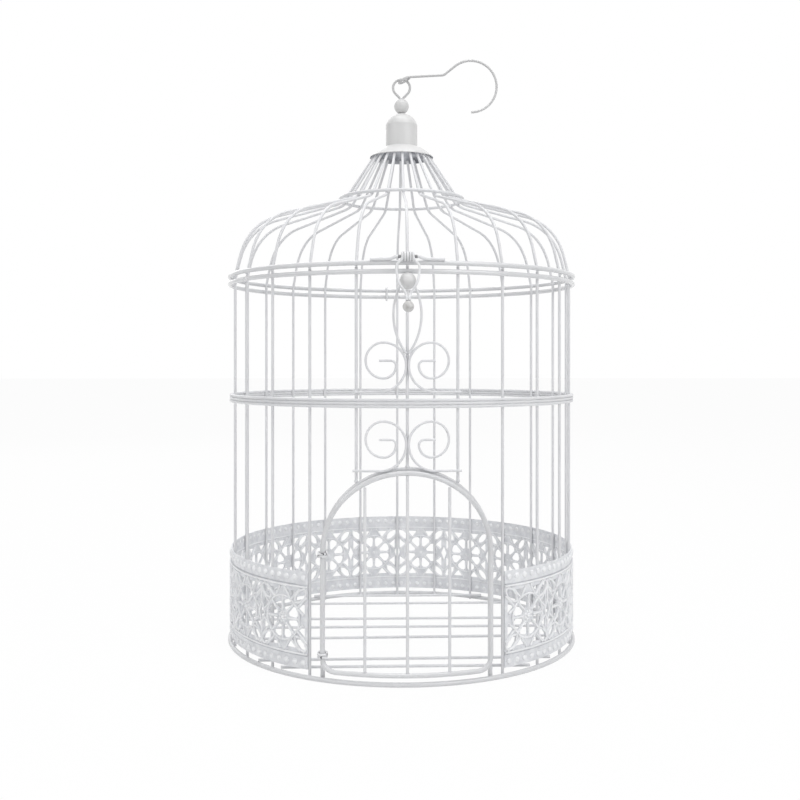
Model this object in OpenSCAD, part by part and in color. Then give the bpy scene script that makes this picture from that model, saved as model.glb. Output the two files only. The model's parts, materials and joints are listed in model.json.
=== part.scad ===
// A round wire birdcage that holds wedding cards: domed lid hinged at the back, arched door at the
// front, wire loop latch, and a hanging hook on the finial. The axis of the cage is Z, the floor is
// z = 0, and the door faces -Y. Angles round the cage are counted from the front, right positive.

/* [Cage] */
// Outside width across the thick rings
cage_d = 260; // [256:1:266]
// Height of the wall ring's top
wall_h = 265.2; // [262:0.2:270]
// Wall wires in a full turn, of which the door takes away some
wall_wires = 24; // [24]
// Height of the middle band's middle wire
band_z = 179.8; // [178:0.2:181]

/* [Wire sizes] */
// Base ring, wall ring, lid ring and door frame
ring_wire = 3.2; // [3:0.1:3.4]
// Fixed arch round the door
arch_wire = 3; // [2.8:0.1:3.2]
// Wall wires, dome ribs, floor wires and middle band
wall_wire = 2; // [1.8:0.1:2.2]
// Scrolls, almond, hinge loops and latch
fine_wire = 1.6; // [1.5:0.1:1.7]
// Hanging hook and the eye on the finial
hook_wire = 1.8; // [1.7:0.1:1.9]

/* [Door] */
// Half the distance between the door frame's upright bars
door_half_w = 54.3; // [53.5:0.1:55]
// Height at which the frame's arch begins
door_spring_z = 84; // [83:0.5:86]
// Height of the frame's bottom rail
door_rail_z = 7.5; // [7:0.1:8]
// Bend radius of the frame's bottom corners
door_corner_r = 8; // [7:0.5:9]
// Distance of the outer door bars from the middle one
door_bar_pitch = 27; // [25:0.5:29]
// Distance from the door frame's upright bars to the first wall wires
door_side_gap = 8.6; // [8.2:0.1:9.4]

/* [Filigree band] */
// Height of the sheet's lower edge
sheet_z = 6.4; // [6.2:0.1:7]
// Height of the sheet
sheet_h = 63; // [61:1:65]
// Thickness of the sheet
sheet_t = 0.8; // [0.7:0.1:0.9]
// Height of the raised ridges over the sheet
ridge_t = 0.5; // [0.3:0.1:0.7]
// Number of rosettes round the band
rosettes = 16; // [16]

/* [Lid] */
// Inward lean of a dome rib at the lid ring, in degrees
rib_lean = 14; // [13:0.5:15]
// Straight length of a dome rib above the lid ring
rib_rise = 16; // [15:0.5:17]
// Bend radius low on the dome's shoulder
low_shoulder_r = 52; // [48:1:56]
// Bend radius of the dome's shoulder
shoulder_r = 38; // [37:0.5:39]
// Slope of the dome above its shoulder, in degrees
dome_slope = 15; // [14:0.5:16]
// Straight length of the dome's slope
dome_run = 46; // [44:0.5:47]
// Bend radius where the dome turns up into its neck
neck_bend_r = 14; // [12:1:16]
// Slope of the neck, in degrees
neck_slope = 56; // [54:1:57]
// Distance of the ribs' ends from the axis
rib_end_r = 20; // [19.5:0.25:20.5]

/* [Finial] */
// Radius of the cone cap's rim
cap_r = 24; // [23.5:0.5:25]
// Radius of the bulb
bulb_r = 12; // [11:0.5:13]
// Height of the bulb
bulb_h = 25.5; // [24:0.5:27]
// Radius of the ball on the bulb
finial_ball_r = 5.6; // [5.2:0.1:6]
// Radius of the finial's eye, on the middle of its wire
eye_r = 6.4; // [6.3:0.1:6.6]

/* [Latch] */
// Radius of the keeper ball
keeper_r = 5.3; // [5:0.1:5.5]
// Distance of the keeper ball's centre below the wall ring's top
keeper_drop = 8.2; // [8:0.1:9]
// Radius of the pull ball
pull_ball_r = 3.6; // [3.4:0.1:3.8]
// Turns of the latch's coil
coil_turns = 5; // [4:1:5]

/* [Hook] */
// Bend radius of the hook
hook_r = 19.5; // [18:0.5:21]
// Radius of the hook's own small eye
hook_eye_r = 4.5; // [4.4:0.1:4.6]

/* [Fits] */
// Gap between wires that are welded together
weld = 0.05; // [0.04:0.01:0.08]
// Gap under the closed lid's ribs
lid_seat = 0.3; // [0.2:0.05:0.4]
// Gap between the hinge loops and the rings inside them
lid_hinge_play = 0.35; // [0.3:0.05:0.4]
// Gap between the door's hinge bar and the loops round it
door_hinge_play = 0.2; // [0.15:0.05:0.3]
// Gap between the latch's coil and its bail
coil_play = 0.45; // [0.4:0.05:0.5]
// Gap between the closed latch and its keeper ball
latch_play = 0.5; // [0.4:0.05:0.6]

/* [Hidden] */
$fn = 24;
white = [0.94, 0.94, 0.93];

// Bent wires are built from pieces, every second one a hair thinner and let into its neighbours
lap = 0.05;
lap_step = 0.02;
sweep_lap = 0.3;
round_fn = 120;
sweep_sides = 12;

wire_pitch = 360 / wall_wires;
ring_r = (cage_d - ring_wire) / 2;
wall_r = ring_r - ring_wire / 2 - weld - wall_wire / 2;

// The wires above the door keep the even pitch. The others share the way round from the first
// wire beside the door to its mirror image.
side_angle = asin((door_half_w + door_side_gap) / wall_r);
side_pitch = (360 - 2 * side_angle) / (wall_wires - 4);
function wire_angle(i) = let (j = (i + wall_wires) % wall_wires)
    j > 1 && j < wall_wires - 1 ? side_angle + (j - 2) * side_pitch : j * wire_pitch;

band_r = wall_r + wall_wire + weld;
foot_gap = 0.3;
wall_ring_z = wall_h - ring_wire / 2;
lid_gap = 2.3;
lid_z = wall_h + lid_gap;
lid_ring_z = lid_z + ring_wire / 2;
wire_top = lid_z - wall_wire / 2 * sin(rib_lean) - lid_seat;

// The fixed arch stands inside the base ring, and the door frame hangs just outside it
arch_r = ring_r - ring_wire / 2 - weld - arch_wire / 2;
arch_flat = 0.3;
arch_rise = door_half_w - arch_flat;
door_stand = 0.3;
door_r = ring_r + door_stand;
door_inset = 2.3;
door_rise = arch_rise - door_inset;
door_bar_y = -sqrt(door_r * door_r - door_half_w * door_half_w);
arch_post_y = -sqrt(arch_r * arch_r - door_half_w * door_half_w);

// Height of an elliptical arch's centreline at x, and its slope there in degrees
function arch_z(x, rise) = door_spring_z + rise * sqrt(1 - pow(x / door_half_w, 2));
function arch_slope(x, rise) = atan(rise * x / (pow(door_half_w, 2) * sqrt(1 - pow(x / door_half_w, 2))));
function on_cylinder(x, r) = -sqrt(r * r - x * x);

// A wire bent in the XY plane from the origin along +X. Each move is [length, 0] for a straight
// piece or [bend radius, sweep in degrees] for a bend, with a left turn positive.
module bent_wire(d, moves, i = 0) {
    if (i < len(moves)) {
        size = moves[i][0];
        sweep = moves[i][1];
        thin = i % 2;
        wire = d - lap_step * thin;
        over = lap * thin;
        if (sweep == 0) {
            translate([-over, 0, 0]) rotate([0, 90, 0]) cylinder(d = wire, h = size + 2 * over);
            translate([size, 0, 0]) bent_wire(d, moves, i + 1);
        } else {
            side = sign(sweep);
            extra = over / size * 180 / PI;
            translate([0, side * size, 0]) {
                rotate([0, 0, (side > 0 ? -90 : 90 + sweep) - extra])
                    rotate_extrude(angle = abs(sweep) + 2 * extra, $fn = round_fn)
                        translate([size, 0]) circle(d = wire);
                rotate([0, 0, sweep]) translate([0, -side * size, 0]) bent_wire(d, moves, i + 1);
            }
        }
    }
}

// Where the first `count` moves lead from pose [x, y, heading]
function walk(moves, count, pose, i = 0) =
    i == count ? pose : walk(moves, count, step_from(pose, moves[i][0], moves[i][1]), i + 1);
function step_from(pose, size, sweep) =
    sweep == 0
        ? [pose[0] + size * cos(pose[2]), pose[1] + size * sin(pose[2]), pose[2]]
        : let (side = sign(sweep), a = pose[2] - side * 90, b = a + sweep)
          [pose[0] + size * (cos(b) - cos(a)), pose[1] + size * (sin(b) - sin(a)), pose[2] + sweep];

function unit(v) = v / norm(v);
function outward(p) = unit([p[0], p[1], 0]);
function section(p, t, r, sides) =
    let (side = unit(cross(t, outward(p))), out = cross(side, t))
    [for (j = [0 : sides - 1]) let (a = 360 * j / sides) p + r * (cos(a) * out + sin(a) * side)];

// A wire of diameter d along a path of points in space
module swept_wire(path, d, sides = sweep_sides) {
    last = len(path) - 1;
    rings = [for (i = [0 : last])
        section(path[i], unit(path[min(i + 1, last)] - path[max(i - 1, 0)]), d / 2, sides)];
    walls = [for (i = [0 : last - 1], j = [0 : sides - 1])
        let (a = i * sides + j, b = i * sides + (j + 1) % sides)
        each [[a, b + sides, b], [a, a + sides, b + sides]]];
    polyhedron([for (ring = rings) each ring],
        concat([[for (j = [0 : sides - 1]) j]], walls, [[for (j = [sides - 1 : -1 : 0]) last * sides + j]]));
}

// A smooth path through hand-set points, with `steps` points for each stretch
function smooth(p, steps) = let (last = len(p) - 1)
    [for (i = [0 : last - 1], k = [0 : steps - 1]) spline_at(p, i, k / steps), p[last]];
function spline_at(p, i, t) =
    let (a = p[max(i - 1, 0)], b = p[i], c = p[i + 1], d = p[min(i + 2, len(p) - 1)])
    0.5 * (2 * b + (c - a) * t + (2 * a - 5 * b + 4 * c - d) * t * t + (3 * b - a - 3 * c + d) * t * t * t);

module around(angle) rotate([0, 0, angle - 90]) children();
module upright() rotate([90, 0, 0]) children();
// A flat face in front of the wall wires at `angle`: x to the right, y up
module wall_face(angle, r) rotate([0, 0, angle]) translate([0, -r, 0]) upright() children();
module ring(r, z, d) color(white) translate([0, 0, z]) rotate_extrude($fn = round_fn) translate([r, 0]) circle(d = d);

// ---- Cage ----

module base_ring() ring(ring_r, ring_wire / 2, ring_wire);
module wall_ring() ring(ring_r, wall_ring_z, ring_wire);
module mid_band(level) ring(band_r, band_z + level * (wall_wire + weld), wall_wire);

// Each floor wire lies across the base ring at its own y, some of them a little askew
floor_wire_inset = 1.2;
floor_wire_places = [[105.4, 0], [77.5, 0], [27.6, 0], [2.8, 0], [-26.4, 0.9], [-79.8, 0.7], [-97.2, 0]];
module floor_wires() color(white)
    for (place = floor_wire_places) {
        reach = sqrt(ring_r * ring_r - place[0] * place[0]) - floor_wire_inset;
        translate([0, place[0], ring_wire + weld + wall_wire / 2]) rotate([0, 90, place[1]])
            cylinder(d = wall_wire, h = 2 * reach, center = true);
    }

module wall_wire_at(angle, z0) around(angle) translate([wall_r, 0, z0]) cylinder(d = wall_wire, h = wire_top - z0);
module wall_wire_group(first, last) color(white)
    for (i = [first : last]) wall_wire_at(wire_angle(i), foot_gap);
module wall_wires_right() wall_wire_group(2, 10);
module wall_wires_back() wall_wire_group(11, 13);
module wall_wires_left() wall_wire_group(14, 22);

// The wires above the door stop on the fixed arch
module arch_wires() color(white)
    for (i = [-1 : 1]) {
        x = max(0, abs(wall_r * sin(i * wire_pitch)) - wall_wire / 2);
        top = arch_z(x, arch_rise) + arch_wire / 2 / cos(arch_slope(x, arch_rise));
        wall_wire_at(i * wire_pitch, top + 2 * weld);
    }

// An arch on a cylinder of radius r, from the left springing line over to the right one
arch_steps = 28;
function arch_path(r, rise) = concat(
    [[-door_half_w, on_cylinder(door_half_w, r), door_spring_z - sweep_lap]],
    [for (i = [0 : arch_steps]) let (a = 180 - 180 * i / arch_steps, x = door_half_w * cos(a))
        [x, on_cylinder(x, r), door_spring_z + rise * sin(a)]],
    [[door_half_w, on_cylinder(door_half_w, r), door_spring_z - sweep_lap]]);

module door_arch() color(white) {
    for (side = [-1, 1]) translate([side * door_half_w, arch_post_y, foot_gap])
        cylinder(d = arch_wire, h = door_spring_z - foot_gap);
    swept_wire(arch_path(arch_r, arch_rise), arch_wire - lap_step);
}

// Pierced sheet, rolled round the outside of the wall wires
sheet_r = band_r - wall_wire / 2 + weld;
border = 10.5;
ridge_w = 1.6;
sheet_end_turn = 0.2;
sheet_start = side_angle + sheet_end_turn;
rosette_turn = (360 - 2 * sheet_start) / rosettes;
rosette_half = rosette_turn / 2 * PI / 180 * (sheet_r + sheet_t / 2);
field_half = sheet_h / 2 - border;

// A rosette's holes: petals round the hub, a leaf in each corner and a triangle beside each leaf
petal = [[5.6, -1], [11.2, -3.7], [13.2, -2.7], [13.9, 0], [13.2, 2.7], [11.2, 3.7], [5.6, 1]];
leaf = [[-5.4, 0], [-2.4, 2.2], [2, 2.5], [5.2, 0.8], [5.2, -0.8], [2, -2.5], [-2.4, -2.2]];
leaf_inset = 5.6;
triangle_inset = 2.3;
triangle_deep = 5;
triangle = [3.5, 7.2, 11.6];
module pierced_triangle(half) polygon([[triangle[0], half - triangle_inset], [triangle[2], half - triangle_inset],
    [triangle[1], half - triangle_inset - triangle_deep]]);
module pierced_tile() {
    for (k = [0 : 7]) rotate(45 * k + 22.5) polygon(petal);
    for (mx = [0, 1], my = [0, 1]) mirror([mx, 0]) mirror([0, my]) {
        translate([rosette_half - leaf_inset, field_half - leaf_inset]) rotate(45) polygon(leaf);
        pierced_triangle(field_half);
        mirror([1, -1]) pierced_triangle(rosette_half);
    }
}
// The upright rhombus between two rosettes
rhombus = [2.4, 6.6];
module tile_join() polygon([[-rhombus[0], 0], [0, -rhombus[1]], [rhombus[0], 0], [0, rhombus[1]]]);

pierce_deep = 4;
module pierce(angle) around(angle) translate([sheet_r - pierce_deep, 0, sheet_z + sheet_h / 2]) rotate([90, 0, 90])
    linear_extrude(2 * pierce_deep) children();
module filigree_band() color(white) difference() {
    rotate([0, 0, sheet_start - 90]) rotate_extrude(angle = 360 - 2 * sheet_start, $fn = 240)
        translate([sheet_r, sheet_z]) {
            square([sheet_t, sheet_h]);
            for (v = [border - ridge_w, sheet_h - border]) translate([0, v]) square([sheet_t + ridge_t, ridge_w]);
        }
    for (i = [0 : rosettes - 1]) {
        pierce(sheet_start + (i + 0.5) * rosette_turn) pierced_tile();
        if (i > 0) pierce(sheet_start + i * rosette_turn) tile_join();
    }
}

// Scrollwork: each scroll winds out from its inner end, meets its mirror image in front of the
// middle wire and runs on into a level tail. The upper pair lies on the wall wires and stands on
// the middle band, and the lower pair lies on the front of the fixed arch.
scroll_inner = 7.6;
scroll_bends = [3.2, 8, 11.4, 14.5, 17];
scroll_overhang = 1.6;
scroll_edge = (fine_wire / 2 + weld) / cos(wire_pitch / 2);
scroll_reach = scroll_inner + scroll_bends[0] - scroll_bends[1] + scroll_bends[3];
scroll_height = scroll_bends[4] + scroll_bends[3] - 2 * scroll_bends[2] + scroll_bends[1] + scroll_bends[0];
upper_scroll_r = wall_r * cos(wire_pitch / 2) + wall_wire / 2 + weld + fine_wire / 2;
upper_tail_z = band_z + 7.2;
lower_scroll_r = arch_r + arch_wire / 2 + weld + fine_wire / 2;
lower_tail_z = door_spring_z + arch_rise - 1.2;
module scroll(side, r, tail_z) {
    middle = r * tan(wire_pitch / 2);
    tail = 2 * middle - scroll_bends[4] - scroll_edge + scroll_overhang;
    color(white) mirror([side > 0 ? 1 : 0, 0, 0]) wall_face(-wire_pitch / 2, r)
        translate([middle - scroll_edge - scroll_reach, tail_z + scroll_height, 0])
            bent_wire(fine_wire, [[scroll_inner, 0], [scroll_bends[0], -90], [scroll_bends[1], -90],
                [scroll_bends[2], -180], [scroll_bends[3], -90], [scroll_bends[4], -90], [tail, 0]]);
}

almond_foot = 24.6;
almond_gap = 0.6;
almond_z = [upper_tail_z + almond_foot, wall_h - ring_wire - fine_wire / 2 - almond_gap];
almond_half_w = 8.9;
almond_face_r = wall_r + wall_wire / 2 + weld + fine_wire / 2;
module almond_ornament() {
    half_h = (almond_z[1] - almond_z[0]) / 2;
    tip_x = fine_wire / 2 + weld;
    bulge = almond_half_w - tip_x;
    bend_r = (half_h * half_h + bulge * bulge) / (2 * bulge);
    spread = asin(half_h / bend_r);
    color(white) wall_face(0, almond_face_r) translate([0, (almond_z[0] + almond_z[1]) / 2, 0])
        for (side = [0, 1]) mirror([side, 0, 0]) translate([almond_half_w - bend_r, 0, 0]) rotate([0, 0, -spread])
            rotate_extrude(angle = 2 * spread, $fn = 240) translate([bend_r, 0]) circle(d = fine_wire);
}

// Ball on a short peg, welded to the front of the wall ring
keeper_out = 4.95;
keeper_stem = 2.2;
keeper_y = -ring_r - keeper_out;
keeper_z = wall_h - keeper_drop;
module latch_keeper() {
    lean = atan2(ring_r + keeper_y, wall_ring_z - keeper_z);
    stem = norm([ring_r + keeper_y, wall_ring_z - keeper_z]) - ring_wire / 2 - 2 * weld;
    color(white) translate([0, keeper_y, keeper_z]) {
        sphere(r = keeper_r, $fn = 48);
        rotate([lean, 0, 0]) cylinder(d = keeper_stem, h = stem);
    }
}

// Closed wire loop round two parallel rods that are `span` apart along +X
module wrap_loop(r, span) translate([0, -r, 0]) bent_wire(fine_wire, [[span, 0], [r, 180], [span, 0], [r, 180]]);

lid_hinge_angle = 4.2;
lid_hinge_r = ring_wire / 2 + lid_hinge_play + fine_wire / 2;
lid_axis_y = ring_r * cos(lid_hinge_angle);
module lid_hinge_loop(side) color(white) around(180 + side * lid_hinge_angle)
    translate([ring_r, 0, wall_ring_z]) rotate([0, -90, 0]) upright()
        wrap_loop(lid_hinge_r, lid_ring_z - wall_ring_z);

// Two turns of wire hold the door's hinge bar to the left post of the arch
door_hinge_r = ring_wire / 2 + door_hinge_play + fine_wire / 2;
door_hinge_seat = 1.9;
door_hinge_z = [door_rail_z + door_corner_r + door_hinge_seat, door_spring_z - door_hinge_seat];
module door_hinge_loop(z) color(white) translate([-door_half_w, arch_post_y, z])
    for (turn = [-0.5, 0.5]) translate([0, 0, turn * (fine_wire + weld)]) rotate([0, 0, -90])
        wrap_loop(door_hinge_r, arch_post_y - door_bar_y);

// ---- Door ----

// The frame's rail and two lower corners, on the door's cylinder
corner_steps = 6;
function corner(side) = [for (i = [0 : corner_steps]) let (a = 90 * i / corner_steps)
    let (x = side * (door_half_w - door_corner_r * (1 - cos(a))))
    [x, on_cylinder(x, door_r), door_rail_z + door_corner_r * (1 - sin(a))]];
rail_steps = 10;
rail_half = door_half_w - door_corner_r;
function rail_path() = concat(
    [[-door_half_w, door_bar_y, door_rail_z + door_corner_r + sweep_lap]],
    corner(-1),
    [for (i = [1 : rail_steps - 1]) let (x = rail_half * (2 * i / rail_steps - 1)) [x, on_cylinder(x, door_r), door_rail_z]],
    [for (i = [corner_steps : -1 : 0]) corner(1)[i]],
    [[door_half_w, door_bar_y, door_rail_z + door_corner_r + sweep_lap]]);

module door_frame() color(white) {
    for (side = [-1, 1]) translate([side * door_half_w, door_bar_y, door_rail_z + door_corner_r])
        cylinder(d = ring_wire, h = door_spring_z - door_rail_z - door_corner_r);
    swept_wire(arch_path(door_r, door_rise), ring_wire - lap_step);
    swept_wire(rail_path(), ring_wire - lap_step);
}

module door_bar(x) {
    edge = abs(x) + wall_wire / 2;
    z0 = door_rail_z + ring_wire / 2 + weld;
    z1 = arch_z(edge, door_rise) - ring_wire / 2 / cos(arch_slope(edge, door_rise)) - weld;
    color(white) translate([x, on_cylinder(x, door_r), z0]) cylinder(d = wall_wire, h = z1 - z0);
}

// ---- Lid ----

module lid_ring() ring(ring_r, lid_ring_z, ring_wire);

// The ribs lean in from the lid ring's inner side, and their lower ends stand over the wall wires
low_shoulder_turn = 12;
rib_start = [ring_r - (ring_wire / 2 + weld + wall_wire / 2) / cos(rib_lean) + ring_wire / 2 * tan(rib_lean),
    lid_z, 90 + rib_lean];
rib_bends = [[rib_rise, 0], [low_shoulder_r, low_shoulder_turn],
    [shoulder_r, 90 - rib_lean - low_shoulder_turn - dome_slope], [dome_run, 0], [neck_bend_r, dome_slope - neck_slope]];
neck_pose = walk(rib_bends, 5, rib_start);
neck_len = (neck_pose[0] - rib_end_r) / cos(neck_slope);
rib_end_z = neck_pose[1] + neck_len * sin(neck_slope);
module dome_ribs(first) color(white)
    for (i = [first : first + wall_wires / 4 - 1]) around(wire_angle(i)) translate([rib_start[0], 0, rib_start[1]])
        upright() rotate([0, 0, rib_start[2]]) bent_wire(wall_wire, concat(rib_bends, [[neck_len, 0]]));

neck_wire = 2.4;
neck_off = wall_wire / 2 + 2 * weld + neck_wire / 2;
neck_mid = step_from(walk(rib_bends, 4, rib_start), neck_bend_r, (dome_slope - neck_slope) / 2);
mid_slope = (dome_slope + neck_slope) / 2;
module neck_ring() ring(neck_mid[0] + neck_off * sin(mid_slope), neck_mid[1] + neck_off * cos(mid_slope), neck_wire);

// Thin bulging cone over the ribs' ends
cap_t = 0.6;
cap_rise = 7.8;
cap_bulge = 0.9;
function cap_up(t) = cap_rise * t + 4 * cap_bulge * t * (1 - t);
rib_top_r = rib_end_r + wall_wire / 2 * sin(neck_slope);
rib_top_z = rib_end_z + wall_wire / 2 * cos(neck_slope);
cap_z = rib_top_z - cap_up((cap_r - rib_top_r) / (cap_r - bulb_r)) + 2 * weld;
cap_top = cap_z + cap_rise + cap_t;
cap_steps = 5;
function cap_side(up) = [for (i = [0 : cap_steps]) let (t = i / cap_steps)
    [cap_r + (bulb_r - cap_r) * t, cap_z + up + cap_up(t)]];
module finial_cap() color(white) rotate_extrude($fn = round_fn)
    polygon(concat(cap_side(cap_t), [[0, cap_top], [0, cap_top - cap_t]],
        [for (i = [cap_steps : -1 : 0]) cap_side(0)[i]]));

bulb_top = cap_top + bulb_h;
dome_h = 9;
dome_sphere_r = (bulb_r * bulb_r + dome_h * dome_h) / (2 * dome_h);
module finial_bulb() color(white) translate([0, 0, cap_top]) rotate_extrude($fn = round_fn) {
    square([bulb_r, bulb_h - dome_h]);
    intersection() {
        translate([0, bulb_h - dome_sphere_r]) circle(r = dome_sphere_r);
        translate([0, bulb_h - dome_h]) square([bulb_r, dome_h]);
    }
}

ball_sink = 0.2;
ball_z = bulb_top + finial_ball_r - ball_sink;
module finial_ball() color(white) intersection() {
    translate([0, 0, ball_z]) sphere(r = finial_ball_r, $fn = 48);
    translate([0, 0, bulb_top + weld]) cylinder(r = 2 * finial_ball_r, h = 3 * finial_ball_r);
}

// Pear-shaped eye with both legs on the ball
eye_rise = 8.5;
eye_z = ball_z + finial_ball_r + eye_rise;
leg_x = 1.05;
leg_drop = eye_rise - 0.45;
leg_len = sqrt(leg_x * leg_x + leg_drop * leg_drop - eye_r * eye_r);
leg_heading = 90 + atan(leg_x / leg_drop) - asin(eye_r / norm([leg_x, leg_drop]));
module finial_eye() color(white) upright() translate([leg_x, eye_z - leg_drop, 0]) rotate([0, 0, leg_heading])
    bent_wire(hook_wire, [[leg_len, 0], [eye_r, 360 - 2 * leg_heading], [leg_len, 0]]);

// Raised wire on the lid ring that the latch swings on
bail_wire = 2.2;
coil_r = bail_wire / 2 + coil_play + fine_wire / 2;
bail_out = 3.8;
bail_up = 3.4;
bail_y = -ring_r - bail_out;
bail_z = lid_ring_z + bail_up;
bail_half = 6.2;
// Its feet lie on the front of the lid ring's top
foot_lean = 40;
foot_off = (ring_wire + bail_wire) / 2 + 2 * weld;
foot_r = ring_r + foot_off * sin(foot_lean);
foot_z = lid_ring_z + foot_off * cos(foot_lean);
foot_span = [5.6, 10.5];
function on_foot(angle) = [foot_r * sin(angle), -foot_r * cos(angle), foot_z];
function bail_side(side) = smooth([[side * (bail_half - sweep_lap), bail_y, bail_z],
    [side * (bail_half + 1.2), bail_y, bail_z], [side * (bail_half + 2.8), (bail_y - foot_r) / 2, (bail_z + foot_z) / 2],
    on_foot(side * foot_span[0]), on_foot(side * foot_span[1])], 5);
module latch_bail() color(white) {
    translate([0, bail_y, bail_z]) rotate([0, 90, 0]) cylinder(d = bail_wire, h = 2 * bail_half, center = true);
    for (side = [-1, 1]) swept_wire(bail_side(side), bail_wire - lap_step);
}

// ---- Latch ----

coil_squeeze = 0.16;
coil_pitch = fine_wire + 0.1;
coil_half = (coil_turns - 1) / 2 * coil_pitch;
neck_front_y = keeper_y - keeper_r - latch_play - fine_wire / 2;
pull_y = keeper_y - keeper_r - pull_ball_r - latch_play;
pull_drop = 16.5;
pull_z = keeper_z - pull_drop;
function leg_path(side) = smooth([
    [side * coil_half, bail_y - coil_r, bail_z],
    [side * (coil_half + 0.7), bail_y - coil_r - 0.1, bail_z - 2],
    [side * 6.9, bail_y - coil_r - 1.2, bail_z - 5.5],
    [side * 7.2, bail_y - coil_r - 2.2, keeper_z + 6],
    [side * 5.6, neck_front_y + 0.4, keeper_z - 1.5],
    [side * 1.7, neck_front_y, keeper_z - 8],
    [side * 0.9, pull_y + 0.6, pull_z + pull_ball_r + 1.8],
    [side * 0.9, pull_y, pull_z + pull_ball_r + 2 * weld]], 4);
module latch_loop() color(white) {
    translate([0, bail_y, bail_z]) rotate([0, 90, 0]) rotate_extrude($fn = 48) difference() {
        for (k = [0 : coil_turns - 1]) translate([coil_r, k * coil_pitch - coil_half]) circle(d = fine_wire + coil_squeeze);
        translate([0, -coil_half - 2]) square([coil_r - fine_wire / 2, 2 * coil_half + 4]);
    }
    for (side = [-1, 1]) swept_wire(leg_path(side), fine_wire);
}
module latch_pull_ball() color(white) translate([0, pull_y, pull_z]) sphere(r = pull_ball_r, $fn = 48);

// ---- Hook ----

hook_seat = 70;
hook_place = [eye_r * cos(hook_seat), eye_z + eye_r * sin(hook_seat)];
hook_tilt = 27.5;
shank_slope = 3.5;
shank_len = 24.4;
hook_rise = 39;
hook_rise_len = 9.5;
hook_wrap = 219;
hook_eye_turn = 330;
hook_moves = [[10, shank_slope - hook_tilt], [shank_len, 0], [4, hook_rise - shank_slope], [hook_rise_len, 0], [hook_r, -hook_wrap]];
module hanging_hook() color(white) translate([hook_place[0], 0, hook_place[1]]) rotate([0, -hook_tilt, 0]) {
    rotate([0, 0, -90 - hook_eye_turn]) rotate_extrude(angle = hook_eye_turn + 0.6, $fn = 72) translate([hook_eye_r, 0])
        circle(d = hook_wire - lap_step);
    translate([0, -hook_eye_r, 0]) upright() bent_wire(hook_wire, hook_moves);
}

base_ring();
floor_wires();
wall_wires_left();
wall_wires_right();
wall_wires_back();
arch_wires();
door_arch();
filigree_band();
mid_band(-1);  // mid_band_lower
mid_band(0);  // mid_band_middle
mid_band(1);  // mid_band_upper
wall_ring();
scroll(-1, upper_scroll_r, upper_tail_z);  // upper_scroll_left
scroll(1, upper_scroll_r, upper_tail_z);  // upper_scroll_right
scroll(-1, lower_scroll_r, lower_tail_z);  // lower_scroll_left
scroll(1, lower_scroll_r, lower_tail_z);  // lower_scroll_right
almond_ornament();
latch_keeper();
lid_hinge_loop(1);  // lid_hinge_loop_left
lid_hinge_loop(-1);  // lid_hinge_loop_right
door_hinge_loop(door_hinge_z[1]);  // door_hinge_loop_upper
door_hinge_loop(door_hinge_z[0]);  // door_hinge_loop_lower
lid_ring();
dome_ribs(-3);  // dome_ribs_front
dome_ribs(15);  // dome_ribs_left
dome_ribs(9);  // dome_ribs_back
dome_ribs(3);  // dome_ribs_right
neck_ring();
finial_cap();
finial_bulb();
finial_ball();
finial_eye();
latch_bail();
latch_loop();
latch_pull_ball();
door_frame();
door_bar(-door_bar_pitch);  // door_bar_left
door_bar(0);  // door_bar_middle
door_bar(door_bar_pitch);  // door_bar_right
hanging_hook();
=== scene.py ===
"""Dresses a white wire birdcage that holds wedding cards, over its packed construction frame."""

from __future__ import annotations

import functools
import json
import logging
import math
from dataclasses import dataclass, field
from enum import Enum
from typing import Callable, Iterable, Sequence

import bmesh
import bpy
from mathutils import Matrix, Vector

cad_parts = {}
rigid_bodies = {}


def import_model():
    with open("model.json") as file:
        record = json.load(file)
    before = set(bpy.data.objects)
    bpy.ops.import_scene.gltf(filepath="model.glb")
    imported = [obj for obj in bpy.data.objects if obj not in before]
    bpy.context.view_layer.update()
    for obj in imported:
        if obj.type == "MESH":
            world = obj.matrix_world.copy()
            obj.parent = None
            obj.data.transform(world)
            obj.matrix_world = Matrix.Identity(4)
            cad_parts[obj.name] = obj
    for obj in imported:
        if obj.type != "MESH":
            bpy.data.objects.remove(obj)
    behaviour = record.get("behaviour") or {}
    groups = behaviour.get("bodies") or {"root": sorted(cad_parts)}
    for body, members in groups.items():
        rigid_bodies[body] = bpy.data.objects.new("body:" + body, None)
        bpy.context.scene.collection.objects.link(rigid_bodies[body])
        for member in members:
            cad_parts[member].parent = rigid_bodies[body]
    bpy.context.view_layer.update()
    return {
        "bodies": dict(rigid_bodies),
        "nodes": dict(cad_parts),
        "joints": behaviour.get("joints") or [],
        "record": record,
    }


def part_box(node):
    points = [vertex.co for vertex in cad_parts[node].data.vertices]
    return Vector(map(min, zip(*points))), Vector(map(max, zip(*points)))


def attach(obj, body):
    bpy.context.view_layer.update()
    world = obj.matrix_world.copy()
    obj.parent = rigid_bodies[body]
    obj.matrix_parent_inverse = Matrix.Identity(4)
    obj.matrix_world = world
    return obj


log = logging.getLogger("birdcage")

MM = 0.001
FRONT_DEG = -90.0
BACK_DEG = 180.0
FULL_TURN_DEG = 360.0

# Half sizes of a small ball in millimetres: outward, sideways and upward
Sizes = tuple[float, float, float]
# Points of a flat pattern in metres: across and up
Line = list[tuple[float, float]]


class Sheen(Enum):
    """How glossy a coat of paint dries, as roughness."""

    SATIN = 0.38
    GLOSS = 0.22


class Row(Enum):
    """A border of the filigree band, as the side of the band's middle that it lies on."""

    LOWER = -1
    UPPER = 1


# ------------------------------------------------------------------------------- camera


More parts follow.
